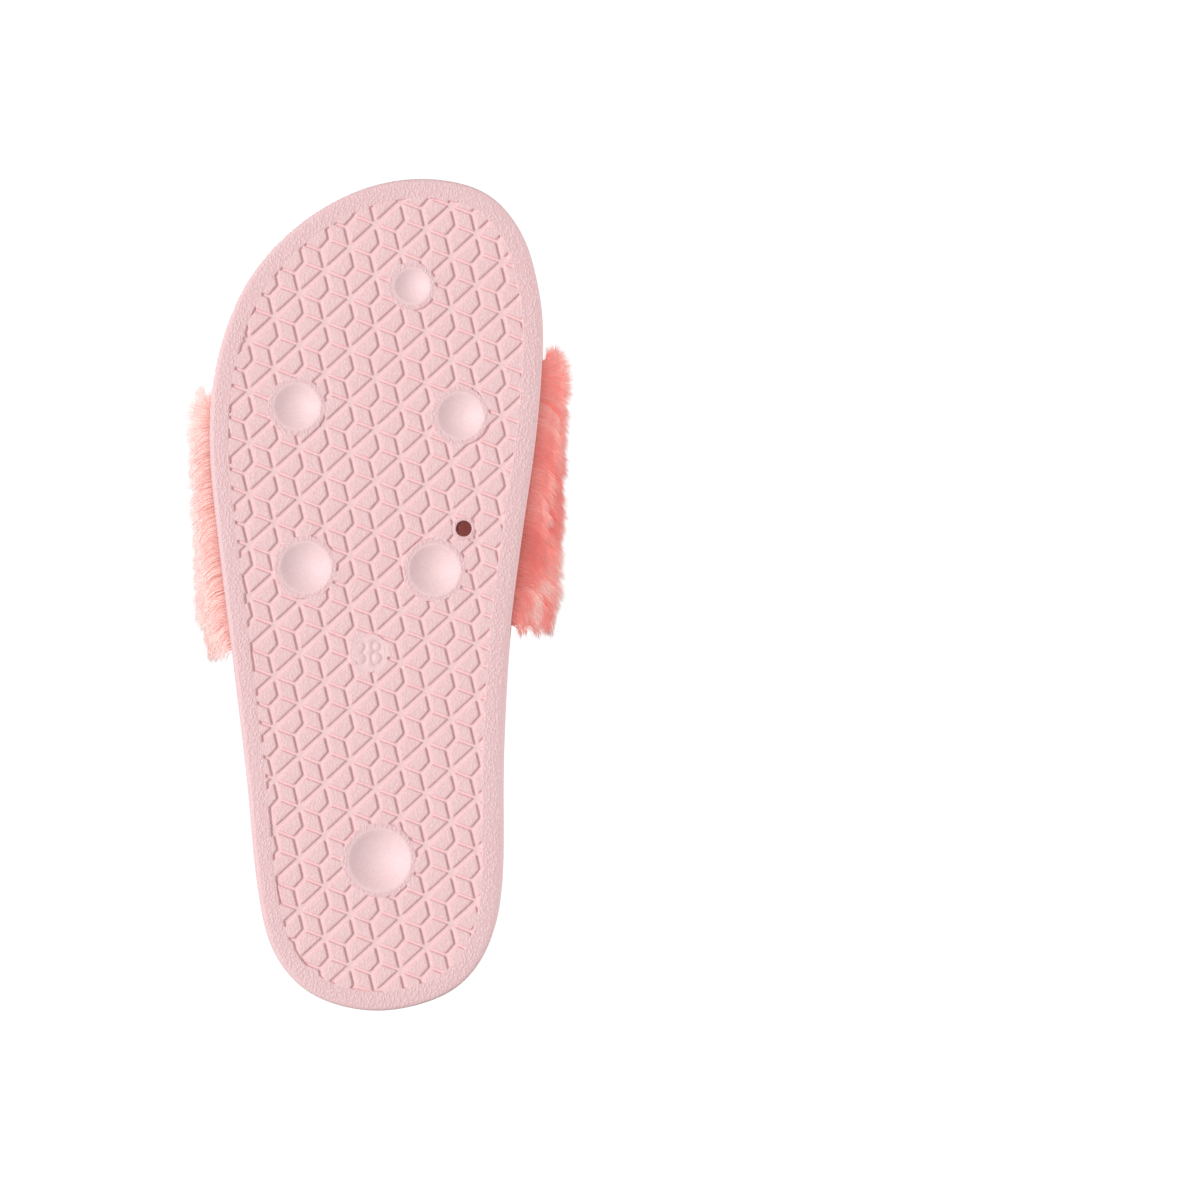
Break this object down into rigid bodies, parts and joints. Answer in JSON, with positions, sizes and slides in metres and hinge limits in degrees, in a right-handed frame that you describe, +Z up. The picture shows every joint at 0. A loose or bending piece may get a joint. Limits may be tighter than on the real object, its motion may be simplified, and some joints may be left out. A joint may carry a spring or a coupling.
{
  "type": "slide slipper",
  "caption": "Open-toe, open-heel slide slipper for a right foot: moulded foam sole with a patterned tread and a wide padded strap covered in plush.",
  "frame": {"origin": "middle of the sole's length on the tread plane, between the arch dimples", "axes": "+Z up from the tread, +Y from toe to heel along the sole, +X to the inner (big toe) side"},
  "size_m": [0.1149, 0.25, 0.0803],
  "materials": {
    "sole_foam": "matte",
    "footbed_foam": "matte",
    "plush": "matte",
    "lining_knit": "matte",
    "board": "matte",
    "padding": "matte",
    "tape": "matte",
    "thread": "satin"
  },
  "bodies": {
    "root": {"outsole": "sole_foam", "footbed": "footbed_foam", "anchor_tab_medial": "board", "anchor_tab_lateral": "board", "strap_lining": "lining_knit", "strap_stiffener": "board", "foam_padding": "padding", "fur_cover": "plush", "front_binding": "tape", "rear_binding": "tape", "front_stitching": "thread", "rear_stitching": "thread"}
  },
  "joints": []
}
